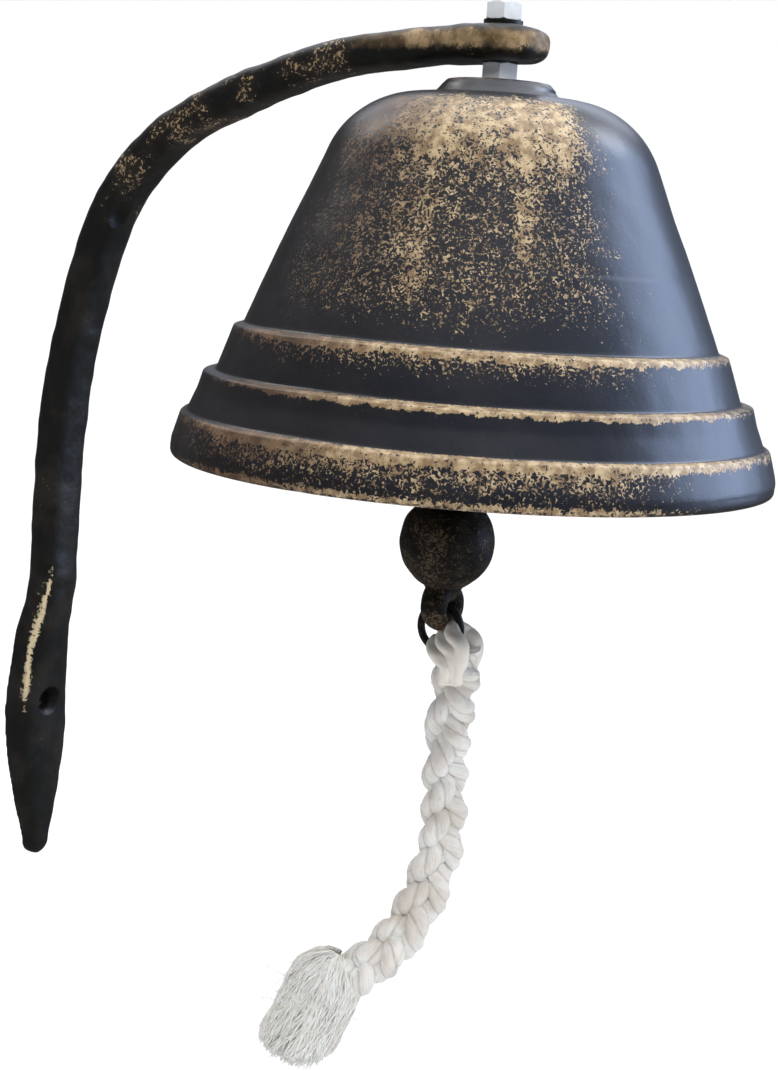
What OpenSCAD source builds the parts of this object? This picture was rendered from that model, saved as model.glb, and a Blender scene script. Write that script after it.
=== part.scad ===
// Wall bell: a cast bell bolted under a curved cast bracket, with a hanging clapper and a braided pull rope.
// The wall is the plane X = 0 and the arm runs along +X. The origin is the screw hole's centre on the wall.

/* [Bell] */
// Outer diameter across the mouth
mouth_d = 180; // [176:1:184]
// Height of the crown above the mouth
crown_h = 109; // [107:1:112]
// Thickness of the cast wall
wall_t = 4; // [3:0.5:5]
// Diameter of the raised boss where it meets the crown
boss_d = 38; // [36:1:41]
// Diameter of the boss's flat top
boss_top_d = 30; // [26:1:32]
// Height of the raised boss
boss_h = 4.5; // [3:0.5:6]
// Height of the mouth above the wall screw
mouth_z = 103; // [100:1:108]

/* [Bracket] */
// Distance from the wall to the bell's axis
reach = 174; // [172:1:178]
// Width of the arm and leg, along the wall
arm_w = 16.5; // [15:0.5:18]
// Thickness of the arm and leg
arm_t = 11; // [10:0.5:12]
// Diameter of the round pad that carries the bell
pad_d = 28; // [26:1:30]
// Greatest width of the wall leaf
leaf_w = 24.6; // [22:0.2:28]
// Thickness of the wall leaf
leaf_t = 9; // [8:0.5:9.5]
// Diameter of the wall screw's hole
screw_d = 6; // [5:0.5:6.5]
// Diameter of the countersink for the screw's head
screw_head_d = 11; // [10:0.5:12]

/* [Fasteners] */
// Thread diameter of the eye bolt
thread_d = 6; // [6:1:6]
// Width across flats of the hexagon nuts
nut_af = 10; // [10:0.5:11]
// Height of each nut
nut_h = 5; // [4:0.5:5]
// Thickness of the lock washer on the arm
lock_t = 1.2; // [1:0.1:1.6]
// Thickness of the flat washer inside the bell
washer_t = 1.6; // [1:0.2:2]

/* [Clapper] */
// Diameter of the clapper's ball
ball_d = 28.4; // [26:0.2:30]
// Depth of the ball's centre below the mouth
ball_drop = 23; // [20:1:25]

/* [Rope] */
// Diameter of the braided rope
rope_d = 13; // [12:0.5:14]

/* [Hidden] */
$fn = 64;

// Clearances
fit = 0.05;
hole_play = 0.25;
loose = 0.3;

// Washer diameters, and the flat spot under the arm for the nut
lock_d = 11.4;
washer_d = 18;
spot_face_d = 14;

// Heights of the clamped stack on the bell's axis
boss_z = mouth_z + crown_h + boss_h;
arm_bottom_z = boss_z + nut_h;
arm_mid_z = arm_bottom_z + arm_t / 2;
arm_top_z = arm_bottom_z + arm_t;
crown_in_z = mouth_z + crown_h - wall_t;

// Bracket centreline: three tangent arcs from the pad down to the straight leg
arm_r = 265;
arm_turn = 24;
bend_r = 76;
bend_turn = 70;
leg_r = 255;
edge_r = 3.5;
bend_x = reach - arm_r * sin(arm_turn);
bend_z = arm_mid_z - arm_r * (1 - cos(arm_turn));
leg_arc_x = bend_x - bend_r * (sin(bend_turn) - sin(arm_turn));
leg_arc_z = bend_z - bend_r * (cos(arm_turn) - cos(bend_turn));
leg_x = leg_arc_x - leg_r * (1 - sin(bend_turn));
leg_z = leg_arc_z - leg_r * cos(bend_turn);

// Wall leaf
flare_z = 36;
waist_z = -6;
tip_z = -56;
tip_r = 4;
toe_t = 5.5;
foot_z = 8;

// Bell profile, as radius and height above the mouth
mouth_r = mouth_d / 2;
cone_slope = 0.423;
cone_top_z = 90;
cone_inset = 41;
shoulder_r = 28;
shoulder_inset = 67.6;
step_w = 2.4;
// Curve of the lip, as inset from the mouth's radius and height above the mouth
lip_curve = [
    [3.2, 0], [1, 0.4], [0, 1.8], [0.8, 6], [2.7, 12], [3.8, 13.4], [5.6, 17], [7.4, 20.5], [8.7, 24]
];

// Hanging parts
hang_x = reach - 6;
eye_r = 7;
eye_wire_r = 3;
eye_z = crown_in_z - washer_t - nut_h - 4 - eye_r;
link_r = 8;
link_wire_r = 1.5;
link_top_z = eye_z - eye_r + eye_wire_r + loose + link_wire_r;
link_z = link_top_z - link_r;
ear_r = 5.5;
ear_wire_r = 2.5;
ear_top_z = link_z - link_r + link_wire_r + loose + ear_wire_r;
ear_z = ear_top_z - ear_r;
ball_z = mouth_z - ball_drop;
shank_r = 3.8;
lug_r = 4.6;
lug_wire_r = 2.6;
lug_z = ball_z - ball_d / 2 - lug_r;
ring_r = 7;
ring_wire_r = 1.2;
ring_top_z = lug_z - lug_r + lug_wire_r + loose + ring_wire_r;
ring_z = ring_top_z - ring_r;

// Rope route below the ring: down, then a stiff bend away from the axis to the end knot
rope_path = [
    [174, 2, 45], [173, 3.5, 39.5], [172, 4.5, 34.5], [171, 5.5, 29], [170, 6.5, 23.5], [169, 7.5, 18],
    [168.5, 8.5, 12.5], [168, 9.5, 7], [168, 10, 1.5], [168, 10, -4], [168, 10, -9.5], [168, 10, -15],
    [167.5, 10, -20.5], [166.5, 9.5, -26], [165.5, 9, -31], [164, 8, -36.5], [162, 7, -41.5],
    [160, 5.5, -46.5], [157.5, 4, -51], [154.5, 2, -55], [151, 0, -59]
];
rope_sides = 10;
knot_at = [147, -2, -64];
knot_r = 8.5;
tassel_from = [140, -5.5, -63.5];
tassel_to = [131, -10.5, -88];
tassel_r = 12;
loop_turn = 40;
loop_r = 4.1;
loop_wire_r = 2.4;

function unit(v) = v / norm(v);

// Points of an arc about c, from angle a to angle b
function arc(c, r, a, b, n) = [for (i = [0:n]) let (t = a + (b - a) * i / n) c + r * [cos(t), sin(t)]];

// Radius of the bell's straight cone at height z above the mouth
function cone(z) = mouth_r - cone_inset + cone_slope * (cone_top_z - z);

// Centreline of the arm and leg, from the pad to the top of the leaf
arm_path = concat(
    arm_arc(reach, arm_mid_z, arm_r, 0, arm_turn, 10),
    arm_arc(bend_x, bend_z, bend_r, arm_turn, bend_turn, 14),
    arm_arc(leg_arc_x, leg_arc_z, leg_r, bend_turn, 90, 8),
    [[leg_x, 0, leg_z], [leg_x, 0, flare_z + 1], [leg_x, 0, flare_z]]
);

// Half width of the leaf at height z from the screw
function leaf_half(z) =
    z > waist_z
    ? arm_w / 2 + (leaf_w - arm_w) / 4 * (1 + cos(180 * (z - waist_z) / (flare_z - waist_z)))
    : leaf_w / 2 - pow(z - waist_z, 2) * (leaf_w / 2 - tip_r) / pow(tip_z + tip_r - waist_z, 2);

module hex_nut(z, height) {
    translate([reach, 0, z]) difference() {
        intersection() {
            cylinder(h = height, d = nut_af / cos(30), $fn = 6);
            nut_chamfer(height);
        }
        translate([0, 0, -1]) cylinder(h = height + 2, d = thread_d + 2 * fit);
    }
}

// Both rims of a nut are turned to a cone
module nut_chamfer(height) {
    rim = nut_af / 2 / cos(30);
    cut = 0.7;
    rotate_extrude() polygon([
        [0, 0], [rim - cut, 0], [rim, cut * 0.6], [rim, height - cut * 0.6], [rim - cut, height], [0, height]
    ]);
}

module washer(z, outer_d, thickness) {
    translate([reach, 0, z]) difference() {
        cylinder(h = thickness, d = outer_d);
        translate([0, 0, -1]) cylinder(h = thickness + 2, d = thread_d + 2 * fit);
    }
}

// Ring of round wire whose axis points along X or along Y
module wire_ring(centre, r, wire_r, along_x) {
    translate(centre) rotate(along_x ? [0, 90, 0] : [90, 0, 0])
        rotate_extrude() translate([r, 0]) circle(wire_r, $fn = 32);
}

// Rounded rectangle as a list of corner arcs
function round_box(w, h, r, n) = [
    for (q = [0:3]) each arc([(q == 0 || q == 3 ? 1 : -1) * (w / 2 - r), (q < 2 ? 1 : -1) * (h / 2 - r)],
        r, 90 * q, 90 * q + 90, n)
];

// Arc of the bracket's centreline in the plane Y = 0, between two turns of its tangent from level
function arm_arc(x, z, r, from, to, n) = [
    for (i = [0:n - 1]) let (t = from + (to - from) * i / n)
        [x - r * (sin(t) - sin(from)), 0, z - r * (cos(from) - cos(t))]
];

// Solid swept along a path, with its outline's first axis square to the path and to Y
module sweep(path, outline) {
    last = len(path) - 1;
    count = len(outline);
    way = [for (i = [0:last]) unit(path[min(i + 1, last)] - path[max(i - 1, 0)])];
    across = [for (t = way) unit(cross([0, 1, 0], t))];
    rim = [for (i = [0:last]) for (p = outline) path[i] + p[0] * across[i] + p[1] * cross(way[i], across[i])];
    sides = [for (i = [0:last - 1]) for (k = [0:count - 1])
        let (next = (k + 1) % count, base = i * count)
        [base + k, base + count + k, base + count + next, base + next]];
    start_cap = [for (k = [0:count - 1]) k];
    end_cap = [for (k = [count - 1:-1:0]) last * count + k];
    polyhedron(points = rim, faces = concat(sides, [start_cap], [end_cap]));
}

// Front view of the wall leaf: a smooth flare from the leg, then a pointed oval with a round tip
module leaf_outline() {
    upper = [for (i = [0:12]) let (z = flare_z + (waist_z - flare_z) * i / 12) [leaf_half(z), z]];
    lower = [for (i = [1:9]) let (z = waist_z + (tip_z + tip_r - waist_z) * i / 10) [leaf_half(z), z]];
    tip = arc([0, tip_z + tip_r], tip_r, 10, -90, 5);
    side = concat(upper, lower, tip);
    polygon(concat(side, [for (i = [len(side) - 2:-1:0]) [-side[i][0], side[i][1]]]));
}

// Side view of the wall leaf: flat back, thick enough at the top to run into the leg
module leaf_side() {
    polygon([
        [0, tip_z], [toe_t, tip_z], [leaf_t, waist_z], [leaf_t, foot_z],
        [leg_x + arm_t / 2, flare_z], [leg_x - arm_t / 2, flare_z], [0, foot_z + 8]
    ]);
}

module leaf() {
    intersection() {
        rotate([90, 0, 90]) linear_extrude(height = 30) leaf_outline();
        translate([0, leaf_w, 0]) rotate([90, 0, 0]) linear_extrude(height = 2 * leaf_w) leaf_side();
    }
}

// Half section of the round pad, with rounded rims
module pad_outline() {
    round_r = 3.5;
    core = [pad_d / 2 - round_r, arm_t / 2 - round_r];
    polygon(concat([[0, -arm_t / 2]], arc([core[0], -core[1]], round_r, -90, 0, 4),
        arc(core, round_r, 0, 90, 4), [[0, arm_t / 2]]));
}

module bracket() {
    color("#241f1b") difference() {
        union() {
            translate([reach, 0, arm_mid_z]) rotate_extrude() pad_outline();
            sweep(arm_path, round_box(arm_t, arm_w, edge_r, 3));
            leaf();
        }
        translate([reach, 0, arm_bottom_z - 1]) cylinder(h = arm_t + 2, d = thread_d + 2 * hole_play);
        translate([reach, 0, arm_bottom_z - nut_h]) cylinder(h = nut_h, d = spot_face_d);
        translate([-1, 0, 0]) rotate([0, 90, 0]) cylinder(h = leaf_t + 2, d = screw_d);
        translate([leaf_t - 3, 0, 0]) rotate([0, 90, 0])
            cylinder(h = 3 + fit, d1 = screw_d, d2 = screw_head_d);
    }
}

module eye_bolt() {
    color("#b9c0c6") {
        translate([reach, 0, eye_z + 3]) cylinder(h = arm_top_z + lock_t + nut_h - eye_z - 3, d = thread_d);
        wire_ring([hang_x, 0, eye_z], eye_r, eye_wire_r, false);
    }
}

module top_nut() {
    color("#dfe6ec") hex_nut(arm_top_z + lock_t, nut_h);
}

module lock_washer() {
    color("#6d7276") washer(arm_top_z, lock_d, lock_t);
}

module spacer_nut() {
    color("#dfe6ec") hex_nut(boss_z, nut_h);
}

module inner_washer() {
    color("#b9c0c6") washer(crown_in_z - washer_t, washer_d, washer_t);
}

module inner_nut() {
    color("#b9c0c6") hex_nut(crown_in_z - washer_t - nut_h, nut_h);
}

// Half outline of the cast bell, outside then inside, from the lip up to the crown and back
module bell_outline() {
    shoulder_at = [mouth_r - shoulder_inset, crown_h - shoulder_r];
    outside = concat(
        [for (p = lip_curve) [mouth_r - p[0], p[1]]],
        [[cone(25.4) + step_w, 25.2], [cone(25.4) + 1.4, 26], [cone(38.6) + step_w, 38.4], [cone(40), 40]],
        arc(shoulder_at, shoulder_r, 23, 90, 9),
        [[boss_d / 2, crown_h], [boss_top_d / 2 + 0.4, crown_h + boss_h - 0.6]],
        [[boss_top_d / 2 - 0.3, crown_h + boss_h], [thread_d / 2 + hole_play, crown_h + boss_h]]
    );
    inside = concat(
        [[thread_d / 2 + hole_play, crown_h - wall_t]],
        arc(shoulder_at, shoulder_r - wall_t, 90, 23, 9),
        [[cone(40) - wall_t, 40], [mouth_r - 13.5, 24], [mouth_r - 8, 12], [mouth_r - 5, 1]]
    );
    polygon(concat(outside, inside));
}

module bell() {
    color("#1d1f24") translate([reach, 0, mouth_z]) rotate_extrude($fn = 180) bell_outline();
}

module clapper_link() {
    color("#8d9297") wire_ring([hang_x, 0, link_z], link_r, link_wire_r, true);
}

module clapper() {
    color("#2b241d") {
        wire_ring([hang_x, 0, ear_z], ear_r, ear_wire_r, false);
        translate([hang_x, 0, ball_z]) cylinder(h = ear_z - ear_r - ball_z, r = shank_r);
        translate([hang_x, 0, ball_z]) sphere(d = ball_d);
        wire_ring([hang_x, 0, lug_z], lug_r, lug_wire_r, true);
    }
}

module rope_ring() {
    color("#2a2622") wire_ring([hang_x, 0, ring_z], ring_r, ring_wire_r, false);
}

// The fold of the rope around the ring's wire
module rope_loop() {
    color("#e9e2d3") translate([hang_x, 0, ring_z]) rotate([0, -loop_turn, 0])
        translate([0, 0, -ring_r]) rotate([0, 90, 0])
            rotate_extrude() translate([loop_r, 0]) circle(loop_wire_r, $fn = 32);
}

module rope() {
    outline = [for (k = [0:rope_sides - 1]) rope_d / 2 * [cos(360 * k / rope_sides), sin(360 * k / rope_sides)]];
    color("#efe9dc") sweep(rope_path, outline);
}

module rope_knot() {
    color("#efe9dc") translate(knot_at) sphere(r = knot_r);
}

// Frayed end: a round head and a short brush of loose fibres
module rope_tassel() {
    axis = tassel_to - tassel_from;
    tilt = acos(axis[2] / norm(axis));
    heading = atan2(axis[1], axis[0]);
    color("#f3eee3") translate(tassel_from) rotate([0, tilt, heading]) {
        sphere(r = tassel_r);
        cylinder(h = norm(axis), r = tassel_r);
    }
}

bracket();
eye_bolt();
top_nut();
lock_washer();
spacer_nut();
bell();
inner_washer();
inner_nut();
clapper_link();
clapper();
rope_ring();
rope_loop();
rope();
rope_knot();
rope_tassel();
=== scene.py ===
# A wall bell: a cast bell under a curved bracket, with a hanging clapper and a braided cotton pull rope.
import math

import bpy
import numpy as np
from mathutils import Matrix, Vector


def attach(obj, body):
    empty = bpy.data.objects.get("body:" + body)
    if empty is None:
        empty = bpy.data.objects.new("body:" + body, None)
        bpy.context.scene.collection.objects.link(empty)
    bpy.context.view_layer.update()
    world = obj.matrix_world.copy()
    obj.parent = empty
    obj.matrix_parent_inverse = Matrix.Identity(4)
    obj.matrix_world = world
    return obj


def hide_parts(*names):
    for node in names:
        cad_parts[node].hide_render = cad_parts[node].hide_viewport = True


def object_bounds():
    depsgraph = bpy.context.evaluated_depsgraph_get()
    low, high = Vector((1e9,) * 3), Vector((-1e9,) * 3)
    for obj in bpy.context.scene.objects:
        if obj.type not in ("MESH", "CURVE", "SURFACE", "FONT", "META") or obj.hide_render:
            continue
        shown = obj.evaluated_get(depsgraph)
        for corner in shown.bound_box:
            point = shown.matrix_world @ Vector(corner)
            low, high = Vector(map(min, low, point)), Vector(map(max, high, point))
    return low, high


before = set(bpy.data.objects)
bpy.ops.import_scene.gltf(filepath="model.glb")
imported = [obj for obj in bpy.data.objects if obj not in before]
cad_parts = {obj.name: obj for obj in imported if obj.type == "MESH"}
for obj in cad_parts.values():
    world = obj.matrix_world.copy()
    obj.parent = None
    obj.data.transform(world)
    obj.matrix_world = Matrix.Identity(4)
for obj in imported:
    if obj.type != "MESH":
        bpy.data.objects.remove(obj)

CAD_LOW, CAD_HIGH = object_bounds()
MM = 0.001

# Main sizes, in millimetres, as in the CAD source
REACH = 174.0
MOUTH_Z = 103.0
HANG_X = 168.0
ARM_MID_Z = 227.0
RING_Z = 53.7
LOOP_TURN = math.radians(48)

# Level directions at the camera: to its right, and ahead of it
TURN = math.radians(30)
RIGHT = Vector((math.cos(TURN), math.sin(TURN), 0))
AHEAD = Vector((-math.sin(TURN), math.cos(TURN), 0))


# ---------------------------------------------------------------- camera
CAMERA_AT = (0.4615, -0.498, 0.174)
PAN, PITCH, ROLL = -0.0395, -0.16, 0.069


def make_camera():
    ahead = Vector((math.sin(PAN) * math.cos(PITCH), math.cos(PAN) * math.cos(PITCH), math.sin(PITCH)))
    level = Vector((math.cos(PAN), -math.sin(PAN), 0))
    above = level.cross(ahead)
    right = math.cos(ROLL) * level + math.sin(ROLL) * above
    up = math.cos(ROLL) * above - math.sin(ROLL) * level
    spin = Matrix.Rotation(TURN, 3, "Z")
    axes = Matrix((spin @ right, spin @ up, -(spin @ ahead))).transposed().to_4x4()
    data = bpy.data.cameras.new("camera")
    data.lens = 65.0
    data.sensor_width = 36.0
    data.clip_start, data.clip_end = 0.05, 20
    camera = bpy.data.objects.new("camera", data)
    bpy.context.scene.collection.objects.link(camera)
    camera.matrix_world = Matrix.Translation(CAMERA_AT) @ axes
    bpy.context.scene.camera = camera


make_camera()


# ---------------------------------------------------------------- mesh helpers, which work in millimetres
def new_mesh(name, verts, faces, uvs=None):
    mesh = bpy.data.meshes.new(name)
    mesh.from_pydata((np.asarray(verts, float) * MM).tolist(), [], [list(f) for f in faces])
    mesh.polygons.foreach_set("use_smooth", [True] * len(mesh.polygons))
    if uvs is not None:
        loops = np.zeros(len(mesh.loops), np.int32)
        mesh.loops.foreach_get("vertex_index", loops)
        mesh.uv_layers.new(name="along").data.foreach_set("uv", np.asarray(uvs, np.float32)[loops].ravel())
    mesh.update()
    made = bpy.data.objects.new(name, mesh)
    bpy.context.scene.collection.objects.link(made)
    return made


def grid_faces(rows, cols):
    """Quads of a grid of points, whose columns run round in a ring."""
    r = np.arange(rows - 1)[:, None]
    c = np.arange(cols)[None, :]
    n = (c + 1) % cols
    quads = np.stack([r * cols + c, r * cols + n, (r + 1) * cols + n, (r + 1) * cols + c], -1)
    return quads.reshape(-1, 4).tolist()


def filleted(corners, spacing):
    """Points along a line of corners (x, y, fillet radius), no further apart than spacing."""
    points = []
    for i, (x, y, fillet) in enumerate(corners):
        p = np.array([x, y], float)
        if fillet <= 0 or i in (0, len(corners) - 1):
            points.append(p)
            continue
        a = np.array(corners[i - 1][:2], float) - p
        b = np.array(corners[i + 1][:2], float) - p
        la, lb = np.linalg.norm(a), np.linalg.norm(b)
        a, b = a / la, b / lb
        half = math.acos(np.clip(a @ b, -1, 1)) / 2
        reach = min(fillet / math.tan(half), 0.48 * la, 0.48 * lb)
        radius = reach * math.tan(half)
        centre = p + (a + b) / np.linalg.norm(a + b) * radius / math.sin(half)
        u, v = p + a * reach - centre, p + b * reach - centre
        sweep = math.pi - 2 * half
        steps = max(3, int(sweep * radius / spacing), int(sweep / 0.22))
        for k in range(steps + 1):
            t = k / steps
            w = (math.sin((1 - t) * sweep) * u + math.sin(t * sweep) * v) / math.sin(sweep)
            points.append(centre + w)
    out = [points[0]]
    for p in points[1:]:
        gap = np.linalg.norm(p - out[-1])
        if gap < 1e-6:
            continue
        n = max(1, math.ceil(gap / spacing))
        start = out[-1]
        out += [start + (p - start) * k / n for k in range(1, n + 1)]
    return np.array(out)


def ripple(p, size, seed, waves=28):
    """A smooth random field of points p, from about -1 to 1, with lumps about size across."""
    r = np.random.default_rng(seed)
    k = r.normal(size=(waves, 3))
    k /= np.linalg.norm(k, axis=1, keepdims=True)
    k *= r.uniform(0.55, 1.25, (waves, 1)) * 2 * math.pi / (2 * size)
    return np.sin(p @ k.T + r.uniform(0, 2 * math.pi, waves)).sum(1) / math.sqrt(waves)


def vertices_of(thing):
    co = np.zeros(len(thing.data.vertices) * 3, np.float64)
    thing.data.vertices.foreach_get("co", co)
    return co.reshape(-1, 3) / MM


def normals_of(thing):
    n = np.zeros(len(thing.data.vertices) * 3, np.float64)
    thing.data.vertices.foreach_get("normal", n)
    return n.reshape(-1, 3)


def set_vertices(thing, points):
    thing.data.vertices.foreach_set("co", (points * MM).astype(np.float32).ravel())
    thing.data.update()


def bake(thing):
    """Turns an object's modifiers into its mesh."""
    graph = bpy.context.evaluated_depsgraph_get()
    graph.update()
    mesh = bpy.data.meshes.new_from_object(thing.evaluated_get(graph))
    thing.modifiers.clear()
    thing.data = mesh
    mesh.polygons.foreach_set("use_smooth", [True] * len(mesh.polygons))
    return thing


def join(name, parts):
    verts, faces, start = [], [], 0
    for thing in parts:
        co = vertices_of(thing)
        verts.append(co)
        faces += [[v + start for v in p.vertices] for p in thing.data.polygons]
        start += len(co)
        bpy.data.objects.remove(thing)
    return new_mesh(name, np.vstack(verts), faces)


def cast_together(name, parts, voxel, smoothing):
    """Parts melted into one casting, with soft joins."""
    thing = join(name, parts)
    remesh = thing.modifiers.new("remesh", "REMESH")
    remesh.mode, remesh.voxel_size, remesh.use_smooth_shade = "VOXEL", voxel * MM, True
    soften = thing.modifiers.new("soften", "SMOOTH")
    soften.factor, soften.iterations = 0.5, smoothing
    return bake(thing)


def cut(thing, cutters):
    for c in cutters:
        m = thing.modifiers.new("cut", "BOOLEAN")
        m.operation, m.solver, m.object = "DIFFERENCE", "EXACT", c
        bake(thing)
        bpy.data.objects.remove(c)
    return thing


def turned(name, outline, centre, axis=(0, 0, 1), segments=96):
    """Closed body of revolution: outline is (radius, height) from the bottom of the axis to its top."""
    outline = np.asarray(outline, float)
    angles = np.linspace(0, 2 * math.pi, segments, endpoint=False)
    axis = Vector(axis).normalized()
    side = axis.orthogonal().normalized()
    other = axis.cross(side)
    a, s, o, c = (np.array(v) for v in (axis, side, other, centre))
    ring = np.cos(angles)[:, None] * s + np.sin(angles)[:, None] * o
    inner = outline[1:-1] if outline[0][0] < 1e-6 else outline
    verts = (c + inner[:, 1][:, None, None] * a + inner[:, 0][:, None, None] * ring[None]).reshape(-1, 3)
    rows = len(inner)
    faces = grid_faces(rows, segments)
    if outline[0][0] < 1e-6:
        verts = np.vstack([verts, c + outline[0][1] * a, c + outline[-1][1] * a])
        low, high = len(verts) - 2, len(verts) - 1
        for k in range(segments):
            n = (k + 1) % segments
            faces.append([low, n, k])
            faces.append([high, (rows - 1) * segments + k, (rows - 1) * segments + n])
    return new_mesh(name, verts, faces)


def torus(name, centre, radius, wire, axis, around, across):
    t = np.linspace(0, 2 * math.pi, across, endpoint=False)
    outline = np.stack([radius + wire * np.cos(t), wire * np.sin(t)], 1)
    return turned(name, np.vstack([outline, outline[:1]]), centre, axis, around)


def ball(name, centre, radius):
    t = np.linspace(-math.pi / 2, math.pi / 2, 49)
    outline = np.stack([np.cos(t) * radius, np.sin(t) * radius], 1)
    outline[0, 0] = outline[-1, 0] = 0
    return turned(name, outline, centre, segments=96)


def frames_along(path):
    """Directions along a path, and two directions across it that don't twist."""
    way = np.gradient(path, axis=0)
    way /= np.linalg.norm(way, axis=1, keepdims=True)
    side = np.zeros_like(path)
    first = np.cross(way[0], [0, 1, 0.01])
    side[0] = first / np.linalg.norm(first)
    for i in range(1, len(path)):
        s = side[i - 1] - way[i] * (side[i - 1] @ way[i])
        side[i] = s / np.linalg.norm(s)
    return way, side, np.cross(way, side)


def smooth_path(points, spacing):
    """A smooth curve through points, as evenly spaced points."""
    p = np.asarray(points, float)
    ext = np.vstack([2 * p[0] - p[1], p, 2 * p[-1] - p[-2]])
    out = []
    for i in range(1, len(ext) - 2):
        p0, p1, p2, p3 = ext[i - 1: i + 3]
        t = np.linspace(0, 1, 24, endpoint=False)[:, None]
        out.append(0.5 * (2 * p1 + (p2 - p0) * t + (2 * p0 - 5 * p1 + 4 * p2 - p3) * t**2
                          + (3 * p1 - p0 - 3 * p2 + p3) * t**3))
    out = np.vstack(out + [p[-1:]])
    run = np.r_[0, np.cumsum(np.linalg.norm(np.diff(out, axis=0), axis=1))]
    at = np.linspace(0, run[-1], max(2, int(run[-1] / spacing) + 1))
    return np.stack([np.interp(at, run, out[:, k]) for k in range(3)], 1)


# ---------------------------------------------------------------- shader helpers
class Paint:
    """A material and short ways to add nodes to it."""

    def __init__(self, name):
        self.material = bpy.data.materials.new(name)
        self.material.use_nodes = True
        self.tree = self.material.node_tree
        self.shader = next(n for n in self.tree.nodes if n.type == "BSDF_PRINCIPLED")
        self.place = self.node("ShaderNodeTexCoord").outputs["Object"]

    def node(self, kind, **props):
        n = self.tree.nodes.new(kind)
        for key, value in props.items():
            setattr(n, key, value)
        return n

    def put(self, socket, value):
        if isinstance(value, bpy.types.NodeSocket):
            self.tree.links.new(value, socket)
        elif isinstance(value, (int, float)):
            socket.default_value = value
        else:
            opaque = (1.0,) if len(socket.default_value) == 4 and len(value) == 3 else ()
            socket.default_value = tuple(value) + opaque

    def math(self, operation, a, b=0.0, clamp=False):
        n = self.node("ShaderNodeMath", operation=operation, use_clamp=clamp)
        self.put(n.inputs[0], a)
        self.put(n.inputs[1], b)
        return n.outputs[0]

    def add(self, a, b, clamp=False):
        return self.math("ADD", a, b, clamp)

    def sub(self, a, b, clamp=False):
        return self.math("SUBTRACT", a, b, clamp)

    def mul(self, a, b):
        return self.math("MULTIPLY", a, b)

    def bell_curve(self, off):
        """1 where off is 0, falling smoothly to 0 on both sides."""
        return self.math("EXPONENT", self.mul(self.mul(off, off), -1.0))

    def scaled(self, factors, vector=None):
        n = self.node("ShaderNodeVectorMath", operation="MULTIPLY")
        self.put(n.inputs[0], self.place if vector is None else vector)
        n.inputs[1].default_value = factors
        return n.outputs[0]

    def split(self, vector=None):
        n = self.node("ShaderNodeSeparateXYZ")
        self.put(n.inputs[0], self.place if vector is None else vector)
        return n.outputs

    def noise(self, scale, detail=2.0, rough=0.5, distortion=0.0, vector=None):
        n = self.node("ShaderNodeTexNoise")
        self.put(n.inputs["Vector"], vector if vector is not None else self.place)
        n.inputs["Scale"].default_value = scale
        n.inputs["Detail"].default_value = detail
        n.inputs["Roughness"].default_value = rough
        n.inputs["Distortion"].default_value = distortion
        return n.outputs[0]

    def ramp(self, value, low, high, to_low=0.0, to_high=1.0, smooth=True):
        n = self.node("ShaderNodeMapRange", interpolation_type="SMOOTHSTEP" if smooth else "LINEAR")
        self.put(n.inputs["Value"], value)
        for key, v in (("From Min", low), ("From Max", high), ("To Min", to_low), ("To Max", to_high)):
            self.put(n.inputs[key], v)
        return n.outputs["Result"]

    def mix(self, factor, a, b):
        n = self.node("ShaderNodeMix", data_type="RGBA")
        self.put(n.inputs[0], factor)
        self.put(n.inputs[6], a)
        self.put(n.inputs[7], b)
        return n.outputs[2]

    def bump(self, height, strength, distance, under=None):
        n = self.node("ShaderNodeBump")
        self.put(n.inputs["Height"], height)
        n.inputs["Strength"].default_value = strength
        n.inputs["Distance"].default_value = distance
        if under is not None:
            self.put(n.inputs["Normal"], under)
        return n.outputs["Normal"]

    def set(self, **values):
        for key, value in values.items():
            self.put(self.shader.inputs[key.replace("_", " ")], value)


def gold_grain(p, density, scale=1.0):
    """Dry-brushed gold: worm-like specks that close up into a coat as density goes from 0 to 1."""
    worm = p.noise(520 * scale, 1.5, 0.5, 0.8)
    worm = p.mul(p.math("ABSOLUTE", p.sub(worm, 0.5)), 8.0)
    worm = p.sub(1.0, worm, clamp=True)
    dots = p.sub(p.noise(1000 * scale, 2.0, 0.6), 0.5)
    patches = p.sub(p.noise(240 * scale, 3.0, 0.6), 0.5)
    total = p.mul(worm, 0.55)
    total = p.add(total, p.mul(dots, 1.7))
    total = p.add(total, p.mul(patches, 0.6))
    limit = p.sub(0.95, p.mul(density, 1.15))
    return p.ramp(total, limit, p.add(limit, 0.16))


def gold_colour(p, pale=(0.60, 0.46, 0.28), tan=(0.29, 0.195, 0.105)):
    return p.mix(p.ramp(p.noise(330, 3.0, 0.6), 0.38, 0.66), tan, pale)


# ---------------------------------------------------------------- bell
def cone(h):
    return 49.0 + 0.423 * (90.0 - h)


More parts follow.
